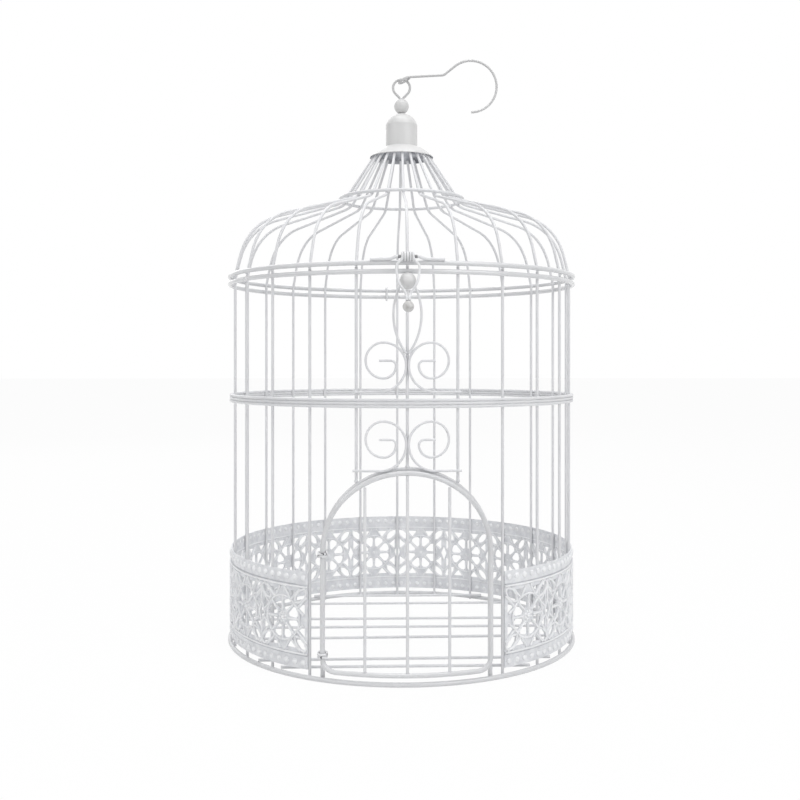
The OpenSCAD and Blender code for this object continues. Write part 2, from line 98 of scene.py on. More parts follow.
@dataclass(frozen=True)
class Viewpoint:
    """A level camera in front of the cage, a little to its left."""

    distance: float = 0.767
    height: float = 0.2061
    turn_deg: float = -1.7
    focal_mm: float = 45.4
    sensor_mm: float = 36.0
    axis_px: float = 401.5
    horizon_px: float = 362.0
    frame_px: float = 800.0
    nearest: float = 0.01
    farthest: float = 60.0

    def place(self) -> bpy.types.Object:
        """Makes the camera and sets it as the scene's.

        Returns:
            The camera object.
        """
        data = bpy.data.cameras.new("viewpoint")
        data.sensor_width = self.sensor_mm
        data.lens = self.focal_mm
        data.shift_x = (self.frame_px / 2 - self.axis_px) / self.frame_px
        data.shift_y = (self.horizon_px - self.frame_px / 2) / self.frame_px
        data.clip_start = self.nearest
        data.clip_end = self.farthest
        camera = bpy.data.objects.new("viewpoint", data)
        turn = math.radians(self.turn_deg)
        camera.location = (
            self.distance * math.sin(turn),
            -self.distance * math.cos(turn),
            self.height,
        )
        camera.rotation_euler = (math.radians(90.0), 0.0, turn)
        bpy.context.scene.collection.objects.link(camera)
        bpy.context.scene.camera = camera
        return camera


# ------------------------------------------------------------------------------- finishes


def new_node(
    tree: bpy.types.NodeTree, kind: str, **sockets: float | tuple[float, ...]
) -> bpy.types.Node:
    """Adds a node and sets its input sockets.

    Args:
        tree: The node tree to add to.
        kind: The node's type name.
        sockets: Values for input sockets, with spaces written as underscores.

    Returns:
        The new node.
    """
    node = tree.nodes.new(kind)
    for name, value in sockets.items():
        node.inputs[name.replace("_", " ")].default_value = value
    return node


def new_maths(
    tree: bpy.types.NodeTree, operation: str, second: float | None = None
) -> bpy.types.Node:
    """Adds a node that works on numbers.

    Args:
        tree: The node tree to add to.
        operation: What it does.
        second: Its second number, where that is fixed.

    Returns:
        The new node.
    """
    node = tree.nodes.new("ShaderNodeMath")
    node.operation = operation
    if second is not None:
        node.inputs[1].default_value = second
    return node


# Sockets of a Mix node that mixes colours
MIX_A, MIX_B, MIX_RESULT = 6, 7, 2


def new_colour_mix(tree: bpy.types.NodeTree) -> bpy.types.Node:
    """Adds a node that mixes two colours, whose sockets are MIX_A, MIX_B and MIX_RESULT.

    Args:
        tree: The node tree to add to.

    Returns:
        The new node.
    """
    node = tree.nodes.new("ShaderNodeMix")
    node.data_type = "RGBA"
    return node


SKIN_ENTRIES: tuple[tuple[str, str, float | tuple[float, ...]], ...] = (
    ("Light", "NodeSocketColor", (0.8, 0.8, 0.8, 1.0)),
    ("Shade", "NodeSocketColor", (0.7, 0.7, 0.7, 1.0)),
    ("Tone Scale", "NodeSocketFloat", 40.0),
    ("Peel Scale", "NodeSocketFloat", 900.0),
    ("Peel Depth", "NodeSocketFloat", 0.2),
    ("Rough", "NodeSocketFloat", 0.35),
    ("Chip Limit", "NodeSocketFloat", 1.0),
    ("Chip Scale", "NodeSocketFloat", 500.0),
    ("Iron", "NodeSocketColor", (0.045, 0.045, 0.055, 1.0)),
)
SKIN_EXITS: tuple[tuple[str, str], ...] = (
    ("Colour", "NodeSocketColor"),
    ("Roughness", "NodeSocketFloat"),
    ("Normal", "NodeSocketVector"),
)


@dataclass(frozen=True)
class PaintSkin:
    """The shared effect of sprayed paint: uneven tone, orange peel, slow waves and chips."""

    name: str = "paint_skin"
    wave_scale: float = 170.0
    relief_depth: float = 0.00012
    chip_sharpness: float = 40.0
    shade_roughness: float = 0.14

    def group(self) -> bpy.types.NodeTree:
        """Builds the node group once and hands back the same one after that.

        Returns:
            The shader node group.
        """
        if self.name in bpy.data.node_groups:
            return bpy.data.node_groups[self.name]
        tree = bpy.data.node_groups.new(self.name, "ShaderNodeTree")
        for label, kind, value in SKIN_ENTRIES:
            socket = tree.interface.new_socket(label, in_out="INPUT", socket_type=kind)
            socket.default_value = value
        for label, kind in SKIN_EXITS:
            tree.interface.new_socket(label, in_out="OUTPUT", socket_type=kind)
        self.fill(tree)
        return tree

    def fill(self, tree: bpy.types.NodeTree) -> None:
        """Puts the nodes into the group and joins them.

        Args:
            tree: The group, which has its sockets.
        """
        entry = tree.nodes.new("NodeGroupInput")
        leave = tree.nodes.new("NodeGroupOutput")
        place = tree.nodes.new("ShaderNodeTexCoord")
        tone = new_node(tree, "ShaderNodeTexNoise", Detail=5.0, Roughness=0.6)
        contrast = new_node(tree, "ShaderNodeMapRange", From_Min=0.35, From_Max=0.68)
        painted = new_colour_mix(tree)
        rough = new_maths(tree, "MULTIPLY_ADD", self.shade_roughness)
        peel = new_node(tree, "ShaderNodeTexNoise", Detail=2.0, Roughness=0.45)
        waves = new_node(tree, "ShaderNodeTexNoise", Scale=self.wave_scale, Detail=1.0)
        relief = new_maths(tree, "ADD")
        bump = new_node(tree, "ShaderNodeBump", Distance=self.relief_depth)
        chips = new_node(tree, "ShaderNodeTexNoise", Detail=1.0, Roughness=0.5)
        over = new_maths(tree, "SUBTRACT")
        edge = new_maths(tree, "MULTIPLY", self.chip_sharpness)
        edge.use_clamp = True
        chipped = new_colour_mix(tree)

        link = tree.links.new
        for texture in (tone, peel, waves, chips):
            link(place.outputs["Object"], texture.inputs["Vector"])

        link(entry.outputs["Tone Scale"], tone.inputs["Scale"])
        link(tone.outputs["Fac"], contrast.inputs["Value"])
        link(contrast.outputs["Result"], painted.inputs["Factor"])
        link(entry.outputs["Light"], painted.inputs[MIX_A])
        link(entry.outputs["Shade"], painted.inputs[MIX_B])
        link(contrast.outputs["Result"], rough.inputs[0])
        link(entry.outputs["Rough"], rough.inputs[2])
        link(rough.outputs[0], leave.inputs["Roughness"])

        link(entry.outputs["Peel Scale"], peel.inputs["Scale"])
        link(peel.outputs["Fac"], relief.inputs[0])
        link(waves.outputs["Fac"], relief.inputs[1])
        link(relief.outputs[0], bump.inputs["Height"])
        link(entry.outputs["Peel Depth"], bump.inputs["Strength"])
        link(bump.outputs["Normal"], leave.inputs["Normal"])

        link(entry.outputs["Chip Scale"], chips.inputs["Scale"])
        link(chips.outputs["Fac"], over.inputs[0])
        link(entry.outputs["Chip Limit"], over.inputs[1])
        link(over.outputs[0], edge.inputs[0])
        link(edge.outputs[0], chipped.inputs["Factor"])
        link(painted.outputs[MIX_RESULT], chipped.inputs[MIX_A])
        link(entry.outputs["Iron"], chipped.inputs[MIX_B])
        link(chipped.outputs[MIX_RESULT], leave.inputs["Colour"])


@dataclass(frozen=True)
class WhitePaint:
    """A sprayed coat of white paint over iron."""

    name: str
    light: tuple[float, float, float] = (0.76, 0.765, 0.78)
    shade: tuple[float, float, float] = (0.71, 0.715, 0.735)
    sheen: Sheen = Sheen.SATIN
    coat: float = 0.25
    coat_roughness: float = 0.18
    ior: float = 1.5
    tone_scale: float = 20.0
    peel_scale: float = 900.0
    peel_depth: float = 0.25
    chip_limit: float = 1.0
    chip_scale: float = 500.0

    def skin_values(self) -> dict[str, float | tuple[float, ...]]:
        """What this paint sets on the shared skin.

        Returns:
            The values by the skin's input.
        """
        return {
            "Light": (*self.light, 1.0),
            "Shade": (*self.shade, 1.0),
            "Tone Scale": self.tone_scale,
            "Peel Scale": self.peel_scale,
            "Peel Depth": self.peel_depth,
            "Rough": self.sheen.value,
            "Chip Limit": self.chip_limit,
            "Chip Scale": self.chip_scale,
        }

    def material(self) -> bpy.types.Material:
        """Builds the finish as a material, or hands back the one already built.

        Returns:
            The material.
        """
        if self.name in bpy.data.materials:
            return bpy.data.materials[self.name]
        paint = bpy.data.materials.new(self.name)
        paint.use_nodes = True
        tree = paint.node_tree
        shader = tree.nodes["Principled BSDF"]
        shader.inputs["Coat Weight"].default_value = self.coat
        shader.inputs["Coat Roughness"].default_value = self.coat_roughness
        shader.inputs["IOR"].default_value = self.ior
        skin = tree.nodes.new("ShaderNodeGroup")
        skin.node_tree = PaintSkin().group()
        for socket, value in self.skin_values().items():
            skin.inputs[socket].default_value = value
        tree.links.new(skin.outputs["Colour"], shader.inputs["Base Color"])
        tree.links.new(skin.outputs["Roughness"], shader.inputs["Roughness"])
        tree.links.new(skin.outputs["Normal"], shader.inputs["Normal"])
        paint.diffuse_color = (*self.light, 1.0)
        return paint


WIRE_PAINT = WhitePaint("wire_paint", coat=0.1, peel_depth=0.04)
# Painted shade: a darker copy of the wire paint for the hook and the finial eye
HOOK_SHADE_PAINT = WhitePaint(
    "hook_shade_paint", light=(0.60, 0.60, 0.605), shade=(0.51, 0.51, 0.515), coat=0.1, peel_depth=0.04
)
THICK_WIRE_PAINT = WhitePaint(
    "thick_wire_paint", light=(0.705, 0.71, 0.725), shade=(0.65, 0.655, 0.67),
    sheen=Sheen.GLOSS, coat=0.4, peel_depth=0.06,
)
CHIPPED_PAINT = WhitePaint("chipped_paint", chip_limit=0.64, chip_scale=520.0)
WELD_PAINT = WhitePaint("weld_paint", chip_limit=0.74, chip_scale=330.0, peel_depth=0.15)
SHEET_PAINT = WhitePaint(
    "sheet_paint", light=(0.84, 0.85, 0.87), shade=(0.69, 0.70, 0.73),
    tone_scale=170.0, peel_scale=600.0, peel_depth=0.5,
)
# Painted highlight: a lighter copy of the sheet paint for the band's raised strands, cords, beads
# and inner lines
RELIEF_HIGHLIGHT_PAINT = WhitePaint(
    "relief_highlight_paint", light=(0.92, 0.925, 0.94), shade=(0.83, 0.84, 0.86),
    tone_scale=170.0, peel_scale=600.0, peel_depth=0.4,
)
# Painted shade: a darker copy of the white paint for the dark line in each border groove of the
# band
GROOVE_SHADE_PAINT = WhitePaint(
    "groove_shade_paint", light=(0.66, 0.67, 0.70), shade=(0.50, 0.51, 0.54), coat=0.0, tone_scale=120.0
)
BALL_PAINT = WhitePaint(
    "ball_paint", light=(0.69, 0.69, 0.69), shade=(0.645, 0.645, 0.645),
    coat=0.2, peel_scale=700.0, peel_depth=0.1,
)
PULL_PAINT = WhitePaint(
    "pull_paint", light=(0.70, 0.70, 0.70), shade=(0.40, 0.39, 0.375),
    sheen=Sheen.GLOSS, coat=0.5, tone_scale=260.0,
)
# Painted shade: a dark, patchy finish for the cap's downward and inward faces
CAP_SHADE_PAINT = WhitePaint(
    "cap_shade_paint", light=(0.56, 0.57, 0.60), shade=(0.09, 0.095, 0.12), coat=0.0, tone_scale=110.0
)
# Dark iron for the bail where the coil rubs it, darkened as painted shade there and used as
# painted shade between the coil's turns
BARE_IRON_AND_SHADE = WhitePaint(
    "bare_iron_and_shade", light=(0.32, 0.32, 0.33), shade=(0.17, 0.17, 0.18), coat=0.0, tone_scale=300.0
)


# ------------------------------------------------------------------------------- studio


def seen_by(tree: bpy.types.NodeTree, rays: Sequence[str]) -> bpy.types.NodeSocket:
    """Tells the rays that see the backdrop from the light that falls on the cage.

    Args:
        tree: The node tree to add to.
        rays: The kinds of ray that see it.

    Returns:
        A socket that is 1 for those rays and 0 for the others.
    """
    path = tree.nodes.new("ShaderNodeLightPath")
    seen = path.outputs[rays[0]]
    for ray in rays[1:]:
        either = new_maths(tree, "MAXIMUM")
        tree.links.new(seen, either.inputs[0])
        tree.links.new(path.outputs[ray], either.inputs[1])
        seen = either.outputs[0]
    return seen


@dataclass(frozen=True)
class Softbox:
    """One square lamp, in metres and watts."""

    name: str
    place: tuple[float, float, float]
    size: float
    watts: float

    def hang(self, target: Vector) -> None:
        """Hangs the lamp and turns it to its target.

        Args:
            target: The point that it faces.
        """
        lamp = bpy.data.lights.new(self.name, "AREA")
        lamp.shape = "SQUARE"
        lamp.size = self.size
        lamp.energy = self.watts
        box = bpy.data.objects.new(self.name, lamp)
        box.location = self.place
        aim = target - Vector(self.place)
        box.rotation_euler = aim.to_track_quat("-Z", "Y").to_euler()
        bpy.context.scene.collection.objects.link(box)


@dataclass
class Studio:
    """A plain pale floor, a white surround and soft lamps."""

    surround: float = 0.38
    floor_half: float = 12.0
    floor_drop: float = 0.2 * MM
    floor_glow: float = 0.96
    paper: tuple[float, float, float, float] = (0.9, 0.9, 0.9, 1.0)
    white: tuple[float, float, float, float] = (1.0, 1.0, 1.0, 1.0)
    cage_middle: tuple[float, float, float] = (0.0, 0.0, 0.2)
    lamps: tuple[Softbox, ...] = (
        Softbox("key_softbox", (1.1, -1.2, 1.3), 1.2, 13.5),
        Softbox("fill_softbox", (-1.3, -0.9, 0.8), 1.2, 5.5),
        Softbox("top_softbox", (0.05, -0.1, 1.7), 1.1, 11.0),
        Softbox("back_softbox", (-0.5, 1.5, 1.1), 1.2, 6.0),
    )

    def build(self) -> None:
        """Lays the floor, lights the surround and hangs the lamps."""
        self.lay_floor()
        self.light_surround()
        for lamp in self.lamps:
            lamp.hang(Vector(self.cage_middle))

    def lay_floor(self) -> None:
        """Makes the floor, which shows white to the camera and keeps a faint shadow."""
        mesh = bpy.data.meshes.new("studio_floor")
        h = self.floor_half
        mesh.from_pydata([(-h, -h, 0), (h, -h, 0), (h, h, 0), (-h, h, 0)], [], [(0, 1, 2, 3)])
        mesh.materials.append(self.white_paper())
        floor = bpy.data.objects.new("studio_floor", mesh)
        floor.location.z = -self.floor_drop
        bpy.context.scene.collection.objects.link(floor)

    def white_paper(self) -> bpy.types.Material:
        """Makes the floor's paper, which glows only where it is looked at.

        Returns:
            The material.
        """
        paper = bpy.data.materials.new("white_paper")
        paper.use_nodes = True
        tree = paper.node_tree
        tree.nodes.clear()
        share = new_maths(tree, "MULTIPLY", self.floor_glow)
        diffuse = new_node(tree, "ShaderNodeBsdfDiffuse", Color=self.paper)
        glow = new_node(tree, "ShaderNodeEmission", Color=self.white, Strength=1.0)
        blend = tree.nodes.new("ShaderNodeMixShader")
        out = tree.nodes.new("ShaderNodeOutputMaterial")
        link = tree.links.new
        link(seen_by(tree, ("Is Camera Ray", "Is Glossy Ray")), share.inputs[0])
        link(share.outputs[0], blend.inputs[0])
        link(diffuse.outputs[0], blend.inputs[1])
        link(glow.outputs[0], blend.inputs[2])
        link(blend.outputs[0], out.inputs["Surface"])
        return paper

    def light_surround(self) -> None:
        """Sets the world: white where it is looked at, softer where it lights the cage."""
        world = bpy.data.worlds.new("white_surround")
        world.use_nodes = True
        bpy.context.scene.world = world
        tree = world.node_tree
        sky = tree.nodes["Background"]
        sky.inputs["Color"].default_value = self.white
        level = new_node(tree, "ShaderNodeMapRange", To_Min=self.surround, To_Max=1.0)
        seen = seen_by(tree, ("Is Camera Ray", "Is Transmission Ray", "Is Glossy Ray"))
        tree.links.new(seen, level.inputs["Value"])
        tree.links.new(level.outputs["Result"], sky.inputs["Strength"])


# ------------------------------------------------------------------------------- mesh tools


def around(angle_deg: float, radius: float, height: float) -> Vector:
    """A point at an angle round the cage, counted from the front with the right positive.

    Args:
        angle_deg: The angle in degrees.
        radius: Distance from the cage's axis.
        height: Height over the floor.

    Returns:
        The point in metres.
    """
    a = math.radians(angle_deg + FRONT_DEG)
    return Vector((radius * math.cos(a), radius * math.sin(a), height))


def metres(sizes: Sizes) -> Vector:
    """Sizes in millimetres as a vector in metres."""
    return Vector(sizes) * MM


@functools.cache
def span(node: str) -> tuple[Vector, Vector]:
    """The lowest and highest corners of a frame node, measured once.

    Args:
        node: The node's name.

    Returns:
        The two corners in metres.
    """
    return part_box(node)


def middle_z(node: str) -> float:
    """Height of a frame node's middle over the floor, in metres."""
    low, high = span(node)
    return (low.z + high.z) / 2.0


@functools.cache
def unit_ball() -> tuple[list[Vector], list[tuple[int, ...]]]:
    """A ball of radius one, made once.

    Returns:
        Its corners and its faces.
    """
    ball = bmesh.new()
    bmesh.ops.create_icosphere(ball, subdivisions=2, radius=1.0)
    corners = [vert.co.copy() for vert in ball.verts]
    faces = [tuple(vert.index for vert in face.verts) for face in ball.faces]
    ball.free()
    return corners, faces


@dataclass
class PieceMesh:
    """A growing list of corners and faces that becomes one piece."""

    corners: list[Vector] = field(default_factory=list)
    faces: list[tuple[int, ...]] = field(default_factory=list)

    def blob(self, centre: Vector, radii: Vector, angle_deg: float) -> None:
        """Adds a small smooth ball, stretched to its half sizes.

        Args:
            centre: The ball's centre.
            radii: Its half sizes outward, sideways and upward.
            angle_deg: Where it lies round the cage, which turns it.
        """
        turn = Matrix.Rotation(math.radians(angle_deg + FRONT_DEG), 4, "Z")
        place = Matrix.Translation(centre) @ turn @ Matrix.Diagonal((*radii, 1.0))
        first = len(self.corners)
        corners, faces = unit_ball()
        self.corners.extend(place @ corner for corner in corners)
        self.faces.extend(tuple(first + i for i in face) for face in faces)

    def tube(
        self, path: Sequence[Vector], radius: Callable[[float], float], sides: int = 8
    ) -> None:
        """Sweeps a round section along a path and caps its ends.

        Args:
            path: The points that the middle of the tube follows.
            radius: Gives the tube's radius at a share of its length, from 0 to 1.
            sides: Sides of the section.
        """
        count = len(path)
        first = len(self.corners)
        for i, point in enumerate(path):
            along = (path[min(i + 1, count - 1)] - path[max(i - 1, 0)]).normalized()
            out = Vector((point.x, point.y, 0.0))
            side = along.cross(out).normalized()
            out = side.cross(along)
            r = radius(i / max(count - 1, 1))
            for k in range(sides):
                a = math.tau * k / sides
                self.corners.append(point + out * (r * math.cos(a)) + side * (r * math.sin(a)))
        for i in range(count - 1):
            near, far = first + i * sides, first + (i + 1) * sides
            for k in range(sides):
                n = (k + 1) % sides
                self.faces.append((near + k, near + n, far + n, far + k))
        self.faces.append(tuple(first + k for k in reversed(range(sides))))
        self.faces.append(tuple(first + (count - 1) * sides + k for k in range(sides)))

    def hoop(
        self,
        centre: Vector,
        radius: float,
        half: tuple[float, float],
        count: int = 40,
        sides: int = 8,
    ) -> None:
        """Adds a closed hoop round a line that runs across the cage.

        Args:
            centre: The hoop's centre.
            radius: The middle radius of its section.
            half: Half the section's width across the cage and half its depth.
            count: Steps round the hoop.
            sides: Sides of the section.
        """
        first = len(self.corners)
        for i in range(count):
            turn = math.tau * i / count
            for k in range(sides):
                a = math.tau * k / sides
                r = radius + half[1] * math.sin(a)
                offset = (half[0] * math.cos(a), r * math.cos(turn), r * math.sin(turn))
                self.corners.append(centre + Vector(offset))
        for i in range(count):
            near, far = first + i * sides, first + (i + 1) % count * sides
            for k in range(sides):
                n = (k + 1) % sides
                self.faces.append((near + k, far + k, far + n, near + n))

    def piece(self, name: str, paint: WhitePaint, body: str, slot: str) -> bpy.types.Object:
        """Turns the mesh into a painted object that rides on a body.

        Args:
            name: The piece's name.
            paint: The finish.
            body: The body that carries it.
            slot: The record's material slot, which is not used.

        Returns:
            The new object.
        """
        mesh = bpy.data.meshes.new(name)
        mesh.from_pydata([tuple(corner) for corner in self.corners], [], self.faces)
        mesh.shade_smooth()
        mesh.materials.append(paint.material())
        made = bpy.data.objects.new(name, mesh)
        bpy.context.scene.collection.objects.link(made)
        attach(made, body)
        return made


# ------------------------------------------------------------------------------- welds


@dataclass
class Wires:
    """Where the upright wires stand, in metres, read from the frame where it tells."""

    count: int = 24
    wall_wire: float = 2.0 * MM
    weld_gap: float = 0.05 * MM
    door_wires: tuple[int, ...] = (-1, 0, 1)
    wall_r: float = field(init=False)

    def __post_init__(self) -> None:
        """Finds the wall wires' circle inside the base ring."""
        low, high = span("base_ring")
        ring_wire = high.z - low.z
        ring_r = (high.y - low.y - ring_wire) / 2.0
        self.wall_r = ring_r - ring_wire / 2.0 - self.weld_gap - self.wall_wire / 2.0

    @property
    def pitch_deg(self) -> float:
        """The angle from one wire to the next."""
        return FULL_TURN_DEG / self.count

    @property
    def outer_r(self) -> float:
        """Radius at which the wall wires touch the rings."""
        return self.wall_r + self.wall_wire / 2.0

    def wall_angles(self) -> list[float]:
        """The angles of the full-height wall wires.

        Returns:
            The angles in degrees, from the right of the door round to its left.
        """
        first, beyond = max(self.door_wires) + 1, self.count + min(self.door_wires)
        return [i * self.pitch_deg for i in range(first, beyond)]


@dataclass
class Welds:
    """Small fillets of weld metal where wires cross."""

    wires: Wires
    ring_weld: Sizes = (0.9, 1.35, 1.5)
    band_weld: Sizes = (0.7, 1.2, 1.15)
    foot_weld: Sizes = (1.3, 1.45, 1.3)
    rib_weld: Sizes = (0.9, 1.35, 1.6)
    rib_drop: float = 0.4 * MM
    neck_weld: Sizes = (1.0, 1.3, 1.0)
    neck_in: float = 0.7 * MM
    neck_drop: float = 0.98 * MM
    eye_weld: Sizes = (1.5, 1.9, 1.1)

    def build(self) -> list[bpy.types.Object]:
        """Makes the welds of each body.

        Returns:
            The weld pieces.
        """
        return [self.cage_welds(), self.lid_welds()]

    def cage_welds(self) -> bpy.types.Object:
        """Welds the wall wires to the rings and the band, and the short wires to the arch.

        Returns:
            The cage's welds as one piece.
        """
        w = self.wires
        welds = PieceMesh()
        crossings = [(name, self.ring_weld) for name in ("base_ring", "wall_ring")]
        for name in ("mid_band_lower", "mid_band_middle", "mid_band_upper"):
            crossings.append((name, self.band_weld))
        for angle in w.wall_angles():
            for name, size in crossings:
                welds.blob(around(angle, w.outer_r, middle_z(name)), metres(size), angle)
        for i in w.door_wires:
            angle = i * w.pitch_deg
            top = around(angle, w.outer_r, middle_z("wall_ring"))
            welds.blob(top, metres(self.ring_weld), angle)
            foot_z = span("arch_wires")[0].z if i else span("door_arch")[1].z
            welds.blob(around(angle, w.wall_r, foot_z), metres(self.foot_weld), angle)
        return welds.piece("cage_welds", WELD_PAINT, "cage", "painted_wire")

    def lid_welds(self) -> bpy.types.Object:
        """Welds the ribs to the lid ring and the neck ring, and the eye to its ball.

        Returns:
            The lid's welds as one piece.
        """
        w = self.wires
        welds = PieceMesh()
        low, high = span("neck_ring")
        neck_r = (high.y - low.y) / 2.0 - (high.z - low.z) / 2.0
        for i in range(w.count):
            angle = i * w.pitch_deg
            rib = around(angle, w.outer_r, middle_z("lid_ring") - self.rib_drop)
            welds.blob(rib, metres(self.rib_weld), angle)
            neck_z = middle_z("neck_ring") - self.neck_drop
            neck = around(angle, neck_r - self.neck_in, neck_z)
            welds.blob(neck, metres(self.neck_weld), angle)
        ball_top = Vector((0.0, 0.0, span("finial_ball")[1].z))
        welds.blob(ball_top, metres(self.eye_weld), 0.0)
        return welds.piece("lid_welds", WELD_PAINT, "lid", "painted_wire")


# ------------------------------------------------------------------------------- latch


@dataclass
class LatchCoil:
    """Painted shade: dark rings between the touching turns of the latch's coil."""

    turn_pitch: float = 1.7 * MM
    coil_out: float = 3.23 * MM
    groove_r: float = 2.68 * MM
    groove_half: tuple[float, float] = (0.3 * MM, 0.33 * MM)
    grooves: int = 4

    def build(self) -> list[bpy.types.Object]:
        """Makes the grooves.

        Returns:
            The one piece that holds them.
        """
        back_top = span("latch_loop")[1]
        y, z = back_top.y - self.coil_out, back_top.z - self.coil_out
        # Painted shade: dark rings set between the coil's turns
        painted_shade = PieceMesh()
        for i in range(self.grooves):
            x = (i - (self.grooves - 1) / 2.0) * self.turn_pitch
            painted_shade.hoop(Vector((x, y, z)), self.groove_r, self.groove_half)
        return [painted_shade.piece("coil_groove_shade", BARE_IRON_AND_SHADE, "latch", "painted_wire")]


# ------------------------------------------------------------------------------- filigree


@dataclass
class FiligreeRelief:
    """The filigree band's stamped relief: twisted strands, flowers, beads and border cords."""

    half_gap_deg: float = 30.21
    rosettes: int = 16
    beads_per_rosette: int = 6
    sheet_t: float = 0.8 * MM
    ridge: float = 0.5 * MM
    border: float = 10.5 * MM

    bead_inset: float = 3.9 * MM
    bead: Sizes = (1.25, 2.1, 2.1)

    # Lines along the borders: distance beyond the field, height over the face, radius
    cord: tuple[float, float, float] = (0.8 * MM, 0.5 * MM, 0.62 * MM)
    groove: tuple[float, float, float] = (2.0 * MM, 0.08 * MM, 0.3 * MM)

    # Strands, stamped as twisted wires
    strand_r: float = 0.74 * MM
    strand_lift: float = 0.3 * MM
    strand_sides: int = 6
    strand_stop: float = 0.4 * MM
    twist_pitch: float = 1.9 * MM
    twist_depth: float = 0.14
    step: float = 0.63 * MM

    # Rosette: a ring on eight spokes, with a flower on its hub
    spokes: int = 8
    ring_r: float = 14.6 * MM
    ring_steps: int = 48
    hub_r: float = 4.6 * MM
    hub: Sizes = (1.15, 1.5, 1.5)
    petal_r: float = 2.8 * MM
    petal: Sizes = (0.75, 1.0, 1.0)

    # Corners of a quarter's arms, across and up from the rosette's middle in millimetres. A
    # negative number counts back from the field's edge.
    arms: tuple[tuple[tuple[float, float], ...], ...] = (
        ((6.9, 12.9), (3.0, -2.2), (2.0, -0.4)),
        ((7.5, 12.9), (12.5, -3.0), (15.2, -0.4)),
        ((12.9, 6.9), (17.8, 3.1)),
        ((12.9, 7.5), (-3.0, 12.5), (-0.4, 15.2)),
    )

    # A corner leaf's rim, along and across the corner's diagonal in millimetres
    leaf_inset: float = 5.6 * MM
    leaf_rim: tuple[tuple[float, float], ...] = (
        (-6.2, 0.0), (-4.6, 1.6), (-2.5, 2.8), (2.0, 3.1), (5.6, 1.6), (6.0, 0.0),
    )
    rhombus: tuple[float, float] = (3.1 * MM, 7.6 * MM)

    # What the stamping leaves on the inner face
    inner_r: float = 0.5 * MM
    inner_sink: float = 0.04 * MM
    dimple: Sizes = (0.45, 1.7, 1.7)
    crease_in: float = 0.8 * MM
    crease_sink: float = 0.1 * MM
    crease_r: float = 0.5 * MM

    def build(self) -> list[bpy.types.Object]:
        """Makes the relief of both faces.

        Returns:
            The relief pieces.
        """
        return [self.strands(), self.beads(), self.grooves(), self.inside()]

    @property
    def turn_deg(self) -> float:
        """The angle that one rosette takes."""
        return (FULL_TURN_DEG - 2.0 * self.half_gap_deg) / self.rosettes

    @property
    def bead_deg(self) -> float:
        """The angle from one bead to the next."""
        return self.turn_deg / self.beads_per_rosette

    @property
    def bead_count(self) -> int:
        """The number of beads in a row."""
        return self.rosettes * self.beads_per_rosette

    @functools.cached_property
    def face_r(self) -> float:
        """Radius of the sheet's outer face."""
        return span("filigree_band")[1].y - self.ridge

    @functools.cached_property
    def half(self) -> tuple[float, float]:
        """Half the width and half the height of a rosette's field."""
        low, high = span("filigree_band")
        across = math.radians(self.turn_deg / 2.0) * self.face_r
        return across, (high.z - low.z) / 2.0 - self.border

    def rosette_deg(self, number: float) -> float:
        """The angle at a number of rosettes from the band's first end."""
        return self.half_gap_deg + number * self.turn_deg

    def on_face(self, angle_deg: float, u: float, v: float, lift: float = 0.0) -> Vector:
        """A point on the sheet's outer face.

        Args:
            angle_deg: The rosette's angle.
            u: Distance to the right of the rosette's middle.
            v: Distance above it.
            lift: Distance out of the face.

        Returns:
            The point in metres.
        """
        turn = math.degrees(u / self.face_r)
        return around(angle_deg + turn, self.face_r + lift, middle_z("filigree_band") + v)

    @staticmethod
    def row_z(row: Row, inset: float) -> float:
        """Height of a line along a border.

        Args:
            row: The border.
            inset: The line's distance from the sheet's edge.

        Returns:
            The height in metres.
        """
        low, high = span("filigree_band")
        return low.z + inset if row is Row.LOWER else high.z - inset

    @staticmethod
    def polar(radius: float, angle_deg: float) -> tuple[float, float]:
        """A point across and up, from a distance and an angle."""
        a = math.radians(angle_deg)
        return radius * math.cos(a), radius * math.sin(a)

    @staticmethod
    def arm_place(value: float, edge: float) -> float:
        """An arm's place in metres, from its number in millimetres and the field's edge."""
        return (value if value > 0.0 else edge / MM + value) * MM

    def quarter(self) -> list[Line]:
        """The lines of a rosette's upper right quarter, as points across and up.

        Returns:
            One list of points for each strand.
        """
        across, up = self.half
        lines = [
            [(self.arm_place(u, across), self.arm_place(v, up)) for u, v in arm]
            for arm in self.arms
        ]
        below = [(u, -v) for u, v in reversed(self.leaf_rim[1:-1])]
        rim = [*self.leaf_rim, *below, self.leaf_rim[0]]
        diagonal = math.sqrt(0.5) * MM
        u0, v0 = across - self.leaf_inset, up - self.leaf_inset
        lines.append([(u0 + (u - v) * diagonal, v0 + (u + v) * diagonal) for u, v in rim])
        return lines

    def rosette(self) -> list[Line]:
        """All the lines of one rosette: ring, spokes and four quarters.

        Returns:
            One list of points for each strand.
        """
        ring_step = FULL_TURN_DEG / self.ring_steps
        lines = [[self.polar(self.ring_r, ring_step * k) for k in range(self.ring_steps + 1)]]
        for k in range(self.spokes):
            angle = FULL_TURN_DEG / self.spokes * k
            lines.append([self.polar(self.hub_r, angle), self.polar(self.ring_r, angle)])
        for mu, mv in ((1, 1), (-1, 1), (1, -1), (-1, -1)):
            lines += [[(mu * u, mv * v) for u, v in line] for line in self.quarter()]
        return lines

    def join(self) -> list[Line]:
        """The lines between two rosettes: a rhombus and a stem above and below it.

        Returns:
            One list of points for each strand.
        """
        across, up = self.rhombus
        top = self.half[1] - self.strand_stop
        frame = [(across, 0.0), (0.0, up), (-across, 0.0), (0.0, -up), (across, 0.0)]
        return [frame, [(0.0, up), (0.0, top)], [(0.0, -up), (0.0, -top)]]

